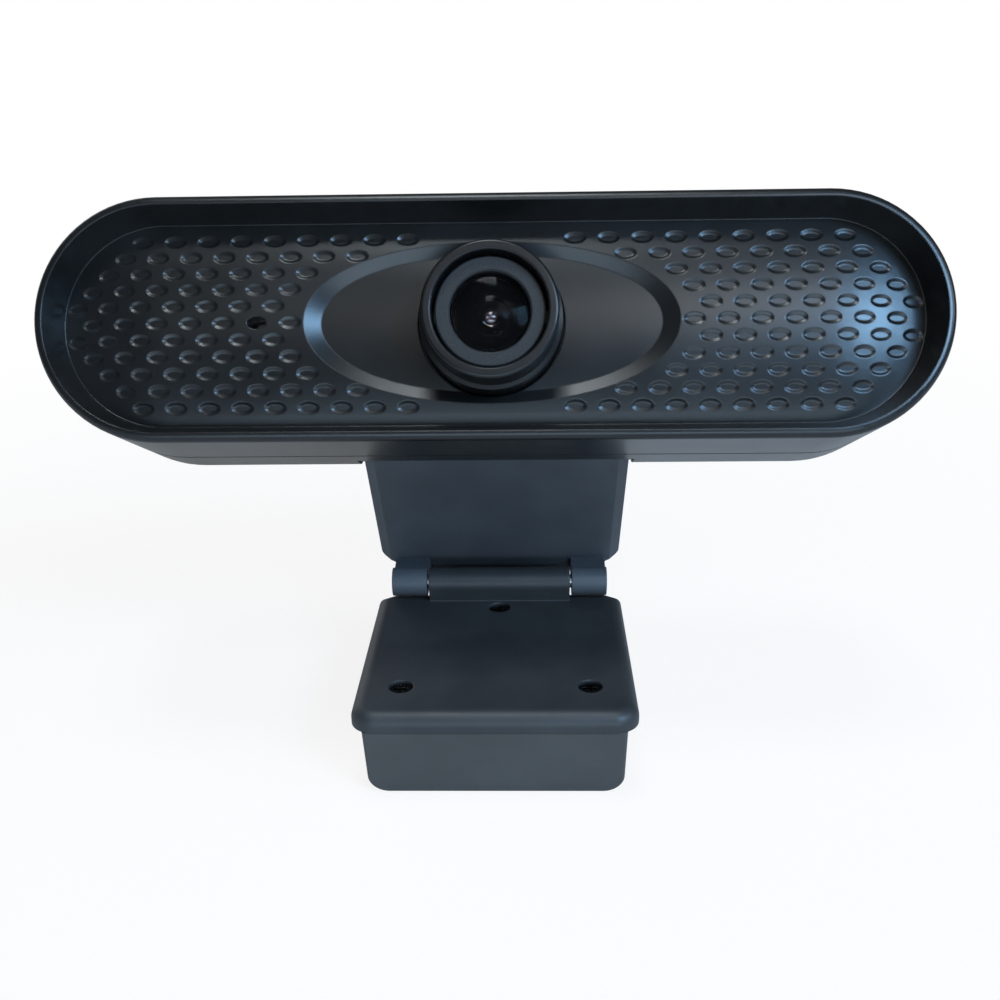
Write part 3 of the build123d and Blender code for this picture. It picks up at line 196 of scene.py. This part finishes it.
class Finish:
    """A node material, or the world's nodes, built one node at a time."""

    def __init__(self, owner):
        owner.use_nodes = True
        self.owner = owner
        self.tree = owner.node_tree
        self.tree.nodes.clear()

    def node(self, kind, settings=None, sockets=None):
        made = self.tree.nodes.new(kind)
        for name, value in (settings or {}).items():
            setattr(made, name, value)
        for name, value in (sockets or {}).items():
            if isinstance(value, Wire):
                self.tree.links.new(value.socket, made.inputs[name])
            else:
                made.inputs[name].default_value = value
        return Made(self, made)

    def place(self):
        """Where a point of the surface is, in the part's own frame."""
        return self.node("ShaderNodeTexCoord")["Object"]

    def place_from(self, middle, turn=(0.0, 0.0, 0.0)):
        """The same, measured from a middle and along turned axes."""
        sockets = {"Vector": self.place(), "Location": middle, "Rotation": turn}
        return self.node("ShaderNodeMapping", {"vector_type": "TEXTURE"}, sockets)["Vector"]

    def head_place(self):
        return self.place_from(RIM_MIDDLE, (-HEAD_TILT, 0.0, 0.0))

    def parts(self, vector):
        made = self.node("ShaderNodeSeparateXYZ", None, {"Vector": vector})
        return made["X"], made["Y"], made["Z"]

    def noise(self, vector, size, detail=2.0, roughness=0.5):
        """Clouds of about that size in metres, from 0 to 1."""
        sockets = {"Vector": vector, "Scale": 1.0 / size, "Detail": detail, "Roughness": roughness}
        return self.node("ShaderNodeTexNoise", None, sockets)["Fac"]

    def cells(self, vector, size):
        """Distance to the nearest of scattered points, in cells of that size."""
        sockets = {"Vector": vector, "Scale": 1.0 / size}
        return self.node("ShaderNodeTexVoronoi", None, sockets)["Distance"]

    def span(self, value, low, high, out_low, out_high):
        """A soft step from out_low to out_high while value goes from low to high."""
        settings = {"interpolation_type": "SMOOTHSTEP"}
        sockets = {"Value": value, "From Min": low, "From Max": high}
        sockets.update({"To Min": out_low, "To Max": out_high})
        return self.node("ShaderNodeMapRange", settings, sockets)["Result"]

    def blend(self, factor, first, second):
        made = self.node("ShaderNodeMix", {"data_type": "RGBA"}, {0: factor, 6: first, 7: second})
        return Wire(self, made.node.outputs[2])

    def soft_edges(self, radius):
        """The surface's direction, rounded at edges."""
        return self.node("ShaderNodeBevel", {"samples": 6}, {"Radius": radius})["Normal"]

    def edges(self, soft):
        """0 on flat faces, more towards edges."""
        plain = self.node("ShaderNodeNewGeometry")["Normal"]
        settings = {"operation": "DOT_PRODUCT"}
        return 1.0 - self.node("ShaderNodeVectorMath", settings, {0: plain, 1: soft})["Value"]

    def bump(self, height, depth, normal=None):
        sockets = {"Height": height, "Distance": depth, "Strength": 1.0}
        if normal:
            sockets["Normal"] = normal
        return self.node("ShaderNodeBump", None, sockets)["Normal"]

    def waves(self, along):
        """A wave from 0 to 1 over an angle in radians."""
        return along.sine() * 0.5 + 0.5

    def surface(self, **sockets):
        named = {}
        for name, value in sockets.items():
            named[name.replace("_", " ").title().replace("Ior", "IOR")] = value
        return self.node("ShaderNodeBsdfPrincipled", None, named)["BSDF"]

    def output(self, shader):
        self.node("ShaderNodeOutputMaterial", None, {"Surface": shader})
        return self.owner


def new_finish(name):
    return Finish(bpy.data.materials.new(name))


def grey(level, blue=0.0):
    """A grey, a little bluer or, below zero, warmer."""
    return (level, level * (1.0 + 0.4 * blue), level * (1.0 + blue), 1.0)


# Plastics, lens finishes and rubber

def moulded_plastic(name, dark, light, gloss, texture, edge):
    """Black moulded plastic with a spark-eroded skin, cloudy sheen and rubbed edges."""
    made = new_finish(name)
    place = made.place()
    cloud = made.noise(place, 0.012, 3.0)
    patch = made.noise(place, 0.0045, 2.0)
    grain = made.noise(place, texture, 3.0, 0.6)
    speck = made.cells(place, 0.0021)
    soft = made.soft_edges(edge)
    rubbed = made.span(made.edges(soft), 0.02, 0.3, 0.0, 1.0)
    tone = made.blend(made.span(cloud * 0.6 + patch * 0.4, 0.35, 0.65, 0.0, 1.0), dark, light)
    worn = made.blend(rubbed * 0.12, tone, grey(0.05, 0.1))
    dust = made.span(speck, 0.014, 0.03, 0.2, 0.0)
    colour = made.blend(dust, worn, grey(0.12))
    roughness = gloss + 0.10 * (cloud - 0.5) + 0.08 * (grain - 0.5) - 0.03 * rubbed
    normal = made.bump(grain, 0.000004, soft)
    shader = made.surface(base_color=colour, roughness=roughness, normal=normal, ior=PLASTIC_INDEX)
    return made.output(shader)


def focus_ring_plastic():
    """Smooth satin plastic with the fine lines of a turned mould."""
    made = new_finish("focus_ring_satin")
    x, _, z = made.parts(made.head_place())
    radius = (x * x + z * z) ** 0.5
    lines = made.waves(radius * RING_MOULD_LINES)
    cloud = made.noise(made.place(), 0.004, 3.0)
    soft = made.soft_edges(0.00012)
    rubbed = made.span(made.edges(soft), 0.02, 0.3, 0.0, 1.0)
    tone = made.blend(cloud, grey(0.006, 0.05), grey(0.010, 0.05))
    # Edges lighter: rubbed wear, and a painted edge highlight
    colour = made.blend(rubbed * 0.5, tone, grey(0.07))
    roughness = 0.29 + 0.1 * (cloud - 0.5) + 0.03 * lines
    normal = made.bump(lines + cloud, 0.000002, soft)
    shader = made.surface(base_color=colour, roughness=roughness, normal=normal, ior=SATIN_INDEX)
    return made.output(shader)


def lens_barrel_black():
    """Blasted black aluminium, dark grey and even."""
    made = new_finish("lens_barrel_blasted_black")
    place = made.place()
    grain = made.noise(place, 0.00016, 2.0, 0.6)
    cloud = made.noise(place, 0.003, 2.0)
    colour = made.blend(made.span(grain, 0.3, 0.7, 0.0, 1.0), grey(0.016), grey(0.030))
    roughness = 0.5 + 0.16 * (grain - 0.5) + 0.1 * (cloud - 0.5)
    normal = made.bump(grain, 0.00001, made.soft_edges(0.00008))
    shader = made.surface(base_color=colour, roughness=roughness, normal=normal, ior=SATIN_INDEX)
    return made.output(shader)


def baffle_black():
    """Light trap: ridged dull black."""
    made = new_finish("lens_baffle_ridged_black")
    _, along, _ = made.parts(made.head_place())
    ridges = made.waves(along * BAFFLE_RIDGES)
    grain = made.noise(made.place(), 0.0002, 2.0)
    # Darker in the ridges' grooves and lighter on their crests: painted shade
    colour = made.blend(ridges, grey(0.004), grey(0.010))
    normal = made.bump(ridges + 0.3 * grain, 0.00005)
    roughness = 0.8 + 0.2 * (grain - 0.5)
    shader = made.surface(
        base_color=colour, roughness=roughness, normal=normal, specular_ior_level=DULL_SHINE
    )
    return made.output(shader)


def stop_black():
    """Black ink on the lens stop: smooth and dull."""
    made = new_finish("lens_stop_inked_black")
    grain = made.noise(made.place(), 0.00015, 2.0)
    cloud = made.noise(made.place(), 0.0016, 2.0)
    colour = made.blend(cloud, grey(0.002), grey(0.004))
    roughness = 0.6 + 0.2 * (cloud - 0.5)
    normal = made.bump(grain, 0.000004, made.soft_edges(0.00006))
    shader = made.surface(
        base_color=colour, roughness=roughness, normal=normal, specular_ior_level=DULL_SHINE
    )
    return made.output(shader)


def lens_glass(name, tint, glint, index=GLASS_INDEX):
    """Coated optical glass, faintly smeared."""
    made = new_finish(name)
    smear = made.noise(made.place(), 0.0024, 3.0)
    roughness = made.span(smear, 0.4, 0.75, 0.01, 0.035)
    colour = made.blend(smear, tint, grey(0.97))
    shader = made.surface(
        base_color=colour,
        roughness=roughness,
        ior=index,
        transmission_weight=1.0,
        specular_tint=glint,
    )
    return made.output(shader)


def rubber(name, ribs):
    """Dull black rubber, ribbed across where it grips."""
    made = new_finish(name)
    place = made.place()
    across, _, _ = made.parts(place)
    grain = made.noise(place, 0.0002, 3.0, 0.6)
    bloom = made.noise(place, 0.005, 3.0)
    colour = made.blend(made.span(bloom, 0.4, 0.7, 0.0, 1.0), grey(0.014), grey(0.034))
    roughness = 0.72 + 0.2 * (grain - 0.5)
    normal = made.bump(made.waves(across * ribs) + 0.15 * grain, 0.00008, made.soft_edges(0.0002))
    shader = made.surface(base_color=colour, roughness=roughness, normal=normal, ior=PLASTIC_INDEX)
    return made.output(shader)


# Metals

def plated_steel(name, dark, light):
    """Plated steel with turning lines and patches of tarnish."""
    made = new_finish(name)
    place = made.place()
    scratch = made.noise(place, 0.00025, 4.0, 0.7)
    tarnish = made.noise(place, 0.0016, 3.0)
    colour = made.blend(made.span(tarnish, 0.35, 0.7, 0.0, 1.0), light, dark)
    roughness = 0.3 + 0.25 * (scratch - 0.5) + 0.2 * (tarnish - 0.5)
    normal = made.bump(scratch, 0.000008, made.soft_edges(0.0001))
    shader = made.surface(base_color=colour, metallic=1.0, roughness=roughness, normal=normal)
    return made.output(shader)


def threaded_brass():
    """Turned brass, with the look of a thread in its bore."""
    made = new_finish("tripod_insert_brass")
    low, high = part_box("tripod_insert")
    x, y, z = made.parts(made.place_from((low + high) / 2))
    radius = (x * x + y * y) ** 0.5
    thread = made.waves(z * INSERT_THREAD + y.angle_over(x))
    in_bore = made.span(radius, INSERT_BORE, INSERT_BODY, 1.0, 0.0)
    tarnish = made.noise(made.place(), 0.0014, 3.0)
    colour = made.blend(tarnish, BRASS, BRASS_TARNISHED)
    roughness = 0.26 + 0.2 * (tarnish - 0.4)
    normal = made.bump(thread * in_bore + 0.1 * tarnish, 0.0004, made.soft_edges(0.0001))
    shader = made.surface(base_color=colour, metallic=1.0, roughness=roughness, normal=normal)
    return made.output(shader)


# Electronics

def circuit_board():
    """Green solder mask over copper tracks."""
    made = new_finish("main_board_solder_mask")
    place = made.head_place()
    flat = {"Vector": place, "Rotation": (radians(90.0), 0.0, 0.0)}
    bricks = {"Scale": 420.0, "Mortar Size": 0.035}
    bricks["Vector"] = made.node("ShaderNodeMapping", None, flat)["Vector"]
    uneven = {"offset": 0.37, "squash": 0.6, "squash_frequency": 3}
    tracks = made.node("ShaderNodeTexBrick", uneven, bricks)["Fac"]
    pads = made.span(made.cells(place, 0.0026), 0.1, 0.13, 1.0, 0.0)
    grain = made.noise(place, 0.0006, 2.0)
    mask = made.blend(tracks, MASK_GREEN, MASK_OVER_TRACK)
    shader = made.surface(
        base_color=made.blend(pads, mask, TINNED_PAD),
        metallic=pads * 0.9,
        roughness=0.3 + 0.15 * grain,
        normal=made.bump(tracks + pads, 0.00003),
        ior=PLASTIC_INDEX,
    )
    return made.output(shader)


def chip_resin(name, dark, light):
    """Moulded resin with a fine sanded grain."""
    made = new_finish(name)
    place = made.place()
    grain = made.noise(place, 0.00012, 2.0, 0.7)
    cloud = made.noise(place, 0.002, 3.0)
    colour = made.blend(made.span(grain * 0.5 + cloud * 0.5, 0.35, 0.65, 0.0, 1.0), dark, light)
    roughness = 0.55 + 0.2 * (cloud - 0.5)
    normal = made.bump(grain, 0.00001, made.soft_edges(0.0001))
    shader = made.surface(base_color=colour, roughness=roughness, normal=normal, ior=PLASTIC_INDEX)
    return made.output(shader)


def filter_glass():
    """Flat glass with a blue-green coating."""
    made = new_finish("infrared_filter_coated_glass")
    smear = made.noise(made.place(), 0.002, 3.0)
    colour = made.blend(smear, FILTER_BLUE, FILTER_PALE)
    roughness = 0.02 + 0.03 * smear
    shader = made.surface(
        base_color=colour, roughness=roughness, ior=FILTER_INDEX, transmission_weight=1.0
    )
    return made.output(shader)


# Finishes on the pieces

def dress(finish, *names):
    for name in names:
        slots = NODES[name].data.materials
        slots.clear()
        slots.append(finish)


def dress_plastics():
    """Each plastic has a dark and a light tone, a roughness, a grain size and an edge round."""
    shell_tones = grey(0.006, 0.04), grey(0.009, 0.04)
    # Seat, lip and arm are one plastic; the seat's darker tones are painted shade from the head
    # above it
    seat_shaded_tones = grey(0.025, 0.06), grey(0.033, 0.06)
    lip_tones = grey(0.053, -0.1), grey(0.063, -0.1)
    # The arm's lighter, bluer tones are painted bluish light from the front
    arm_lit_tones = grey(0.066, 0.2), grey(0.080, 0.2)
    shell = moulded_plastic("shell_satin_black", *shell_tones, 0.31, 0.00022, 0.00025)
    seat = moulded_plastic("seat_painted_shade_black", *seat_shaded_tones, 0.48, 0.00028, 0.0003)
    lip = moulded_plastic("lip_matte_black", *lip_tones, 0.50, 0.00028, 0.0003)
    arm = moulded_plastic("arm_painted_light_black", *arm_lit_tones, 0.52, 0.00028, 0.0003)
    dress(shell, "front_cover", "back_cover")
    dress(arm, "arm_plate")
    dress(seat, "clip_cover")
    dress(lip, "clip_base", "rear_leg")
    dress(rubber("grip_pad_ribbed_rubber", PAD_RIBS), "lip_pad", "seat_pads", "leg_pad")
    dress(rubber("grommet_rubber", NO_RIBS), "cable_grommet", "microphone_boot")


def dress_lens():
    front = lens_glass("front_element_coated_glass", FRONT_GLASS_TINT, grey(0.03))
    inner = lens_glass("inner_element_coated_glass", INNER_GLASS_TINT, INNER_GLASS_GLINT)
    dress(focus_ring_plastic(), "focus_ring")
    dress(lens_barrel_black(), "lens_barrel", "lens_retainer")
    dress(baffle_black(), "lens_baffle")
    dress(front, "front_element")
    dress(inner, "middle_element", "rear_element")
    dress(filter_glass(), "infrared_filter")


def dress_electronics():
    black = chip_resin("chip_resin_black", grey(0.02), grey(0.035))
    holder = chip_resin("lens_holder_resin_black", grey(0.016), grey(0.026))
    silicon = chip_resin("image_sensor_dark_silicon", grey(0.004), grey(0.008))
    nylon = chip_resin("cable_socket_nylon", NYLON_DARK, NYLON_LIGHT)
    dress(circuit_board(), "main_board")
    dress(black, "controller_chip", "memory_chip", "small_parts")
    dress(holder, "lens_holder")
    dress(silicon, "image_sensor")
    dress(nylon, "cable_socket")


def dress_metals():
    bright = plated_steel("plated_steel_bright", STEEL_TARNISHED, STEEL_BRIGHT)
    blackened = plated_steel("clip_screw_black_steel", grey(0.012), grey(0.04))
    dress(bright, "cover_screws", "board_screws", "holder_screws")
    dress(bright, "tilt_pins", "clip_pin", "leg_pin")
    dress(bright, "clock_crystal", "microphone", "microphone_leads")
    dress(blackened, "clip_screws")
    dress(threaded_brass(), "tripod_insert")


def head_turn(x, y, z):
    """A direction in the head frame, turned into the scene."""
    return Matrix.Rotation(-HEAD_TILT, 3, "X") @ Vector((x, y, z))


# Lens stop and bead, behind the front element

def set_in_lens(piece, name, finish):
    """Turns a piece that was modelled round Z, front up, into the lens, with which it rides."""
    piece.name = name
    piece.data.name = name
    piece.rotation_euler = (pi / 2 - HEAD_TILT, 0.0, 0.0)
    piece.location = RIM_MIDDLE
    bpy.ops.object.transform_apply(location=True, rotation=True, scale=True)
    bpy.ops.object.shade_smooth_by_angle(angle=SMOOTH_BELOW)
    piece.data.materials.append(finish)
    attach(piece, "lens")


def lens_stop():
    """A black cone with a step and a small hole, drawn outwards ring by ring from the hole."""
    bpy.ops.object.select_all(action="DESELECT")
    radius, depth = STOP_PROFILE[0]
    bpy.ops.mesh.primitive_circle_add(
        vertices=STOP_SIDES, radius=radius, fill_type="NOTHING", location=(0.0, 0.0, 0.0)
    )
    piece = bpy.context.object
    bpy.ops.object.mode_set(mode="EDIT")
    bpy.ops.mesh.select_all(action="SELECT")
    bpy.ops.transform.translate(value=(0.0, 0.0, -depth))
    for next_radius, next_depth in STOP_PROFILE[1:]:
        bpy.ops.mesh.extrude_edges_move()
        growth = next_radius / radius
        bpy.ops.transform.resize(value=(growth, growth, 1.0), center_override=(0.0, 0.0, 0.0))
        bpy.ops.transform.translate(value=(0.0, 0.0, depth - next_depth))
        radius, depth = next_radius, next_depth
    bpy.ops.mesh.select_all(action="SELECT")
    bpy.ops.mesh.normals_make_consistent(inside=False)
    bpy.ops.object.mode_set(mode="OBJECT")
    if sum(face.normal.z for face in piece.data.polygons) < 0.0:
        bpy.ops.object.mode_set(mode="EDIT")
        bpy.ops.mesh.flip_normals()
        bpy.ops.object.mode_set(mode="OBJECT")
    wall = piece.modifiers.new("wall", "SOLIDIFY")
    wall.thickness = STOP_WALL
    wall.offset = -1.0
    bpy.ops.object.modifier_apply(modifier="wall")
    set_in_lens(piece, "lens_stop", stop_black())


def stop_bead():
    """A small domed glass with a flat back, cut from a ball."""
    bpy.ops.object.select_all(action="DESELECT")
    cut = (BEAD_CROWN**2 - BEAD_EDGE**2) ** 0.5
    bpy.ops.mesh.primitive_uv_sphere_add(
        segments=BEAD_SEGMENTS,
        ring_count=BEAD_RINGS,
        radius=BEAD_CROWN,
        location=(0.0, 0.0, 0.0),
    )
    piece = bpy.context.object
    bpy.ops.object.mode_set(mode="EDIT")
    bpy.ops.mesh.select_all(action="SELECT")
    bpy.ops.mesh.bisect(
        plane_co=(0.0, 0.0, cut),
        plane_no=(0.0, 0.0, 1.0),
        use_fill=True,
        clear_inner=True,
        threshold=CUT_TOLERANCE,
    )
    bpy.ops.mesh.select_all(action="SELECT")
    bpy.ops.transform.translate(value=(0.0, 0.0, -cut - BEAD_BACK))
    bpy.ops.mesh.normals_make_consistent(inside=False)
    bpy.ops.object.mode_set(mode="OBJECT")
    coated = lens_glass("stop_bead_coated_glass", BEAD_TINT, BEAD_GLINT, BEAD_INDEX)
    set_in_lens(piece, "stop_bead", coated)


# Studio

def add_camera():
    level = cos(CAMERA_ROLL)
    right = Vector((level * cos(CAMERA_YAW), level * sin(CAMERA_YAW), -sin(CAMERA_ROLL)))
    ahead = Vector((-sin(CAMERA_YAW), cos(CAMERA_YAW), 0.0))
    down = ahead.cross(right)
    spot = right * -CAMERA_SIDE + down * -CAMERA_DROP + ahead * -CAMERA_DISTANCE
    axes = [head_turn(*axis) for axis in (right, -down, -ahead)]
    turn = Matrix(axes).transposed()
    bpy.ops.object.camera_add(location=RIM_MIDDLE + head_turn(*spot), rotation=turn.to_euler())
    camera = bpy.context.object
    camera.name = "photograph_camera"
    camera.data.sensor_width = SENSOR_WIDTH
    camera.data.lens = SENSOR_WIDTH * CAMERA_FOCAL / PICTURE
    camera.data.shift_y = (CAMERA_CENTRE - PICTURE / 2) / PICTURE
    camera.data.clip_start = NEAREST_SEEN
    bpy.context.scene.camera = camera


def add_lamp(name, spot, target, width, height, glow, colour):
    """A soft rectangular lamp whose surface is glow times as bright as white."""
    turn = (Vector(target) - Vector(spot)).to_track_quat("-Z", "Y")
    bpy.ops.object.light_add(type="AREA", location=spot, rotation=turn.to_euler())
    lamp = bpy.context.object
    lamp.name = name
    lamp.data.shape = "RECTANGLE"
    lamp.data.size = width
    lamp.data.size_y = height
    lamp.data.energy = glow * width * height * pi
    lamp.data.color = colour
    lamp.visible_camera = False


def background_seen(made, share):
    """White to the camera, and by a share in reflections and through glass."""
    path = made.node("ShaderNodeLightPath")
    mirrored = path["Is Glossy Ray"].highest(path["Is Transmission Ray"])
    return path["Is Camera Ray"].highest(mirrored * share)


def add_world():
    world = bpy.data.worlds.new("studio_room")
    bpy.context.scene.world = world
    made = Finish(world)
    room = made.node("ShaderNodeBackground", None, {"Color": ROOM_DARK, "Strength": 1.0})
    white = made.node("ShaderNodeBackground", None, {"Color": WHITE, "Strength": 1.0})
    sockets = {0: background_seen(made, ROOM_SHARE), 1: room["Background"], 2: white["Background"]}
    both = made.node("ShaderNodeMixShader", None, sockets)
    made.node("ShaderNodeOutputWorld", None, {"Surface": both["Shader"]})


def add_floor():
    """A white floor that keeps a faint shadow round the object."""
    bpy.ops.object.select_all(action="DESELECT")
    bpy.ops.mesh.primitive_plane_add(size=FLOOR_WIDTH, location=(0.0, 0.0, 0.0))
    floor = bpy.context.object
    floor.name = "studio_floor"
    made = new_finish("studio_floor_white")
    x, y, _ = made.parts(made.place())
    mottle = made.noise(made.place(), 0.05, 2.0)
    in_view = made.node("ShaderNodeLightPath")["Is Camera Ray"]
    colour = made.blend(in_view, made.blend(mottle, grey(0.60), grey(0.64)), FLOOR_IN_VIEW)
    matt = made.node("ShaderNodeBsdfDiffuse", None, {"Color": colour})
    glow = {"Color": FLOOR_GLOW, "Strength": FLOOR_GLOW_STRENGTH}
    bounce = made.node("ShaderNodeEmission", None, glow)
    table = made.node("ShaderNodeAddShader", None, {0: matt["BSDF"], 1: bounce["Emission"]})
    white = made.node("ShaderNodeEmission", None, {"Color": WHITE, "Strength": 1.0})
    away = (x * x + y * y) ** 0.5
    shadow = made.span(away, SHADOW_NEAR, SHADOW_FAR, SHADOW_STRENGTH, 0.0)
    seen = background_seen(made, FLOOR_SHARE) * (1.0 - shadow)
    sockets = {0: seen, 1: table["Shader"], 2: white["Emission"]}
    both = made.node("ShaderNodeMixShader", None, sockets)
    floor.data.materials.append(made.output(both["Shader"]))


dress_plastics()
dress_lens()
dress_electronics()
dress_metals()
lens_stop()
stop_bead()
add_camera()
add_world()
add_floor()
for lamp_settings in LAMPS:
    add_lamp(*lamp_settings)
bpy.context.scene.view_settings.view_transform = "Standard"
